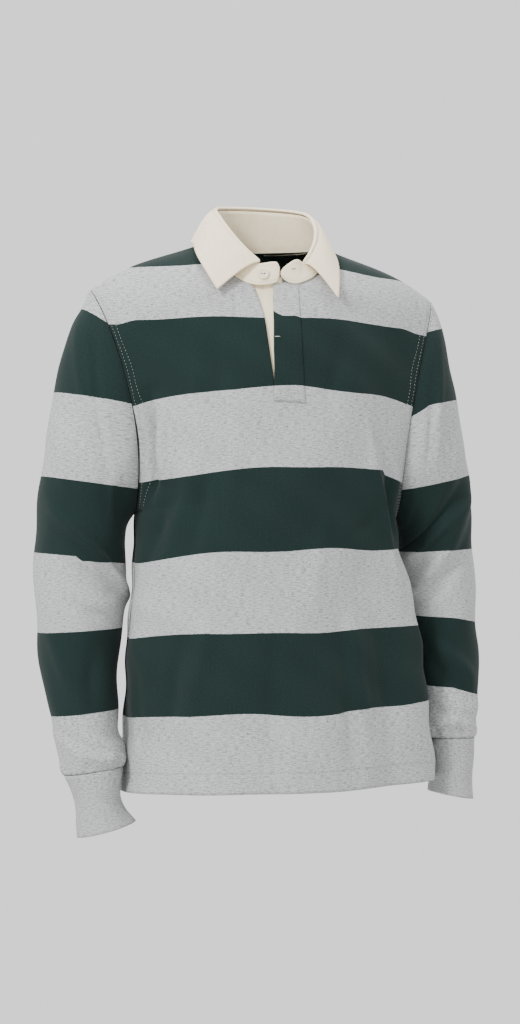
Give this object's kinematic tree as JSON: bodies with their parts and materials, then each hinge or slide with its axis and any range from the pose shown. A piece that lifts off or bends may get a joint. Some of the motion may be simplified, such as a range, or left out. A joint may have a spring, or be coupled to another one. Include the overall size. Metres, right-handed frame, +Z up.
{
  "type": "rugby shirt, as worn",
  "caption": "Long-sleeved rugby shirt in heavy striped jersey, hollow as worn, with a twill collar, a short open placket and ribbed cuffs.",
  "frame": {"origin": "middle of the neck, level with the neck ends of the shoulder seams, where the wearer's shoulders hold the shirt", "axes": "+Z up, the front faces -Y, the wearer's right side is -X"},
  "size_m": [0.5629, 0.2627, 0.783],
  "materials": {
    "striped_jersey": "heavy cotton jersey in broad dark green and heather grey stripes, matt",
    "grey_rib": "heather grey knitted rib, matt",
    "cream_twill": "cream cotton twill, matt",
    "cream_button": "cream two-hole button, satin"
  },
  "bodies": {
    "root": {"front": "striped_jersey", "back": "striped_jersey", "sleeve_right": "striped_jersey", "sleeve_left": "striped_jersey", "placket_strip": "striped_jersey", "cuff_right": "grey_rib", "cuff_left": "grey_rib", "collar_stand": "cream_twill", "collar_fall": "cream_twill", "placket_facing": "cream_twill", "button_neck": "cream_button"}
  },
  "joints": []
}
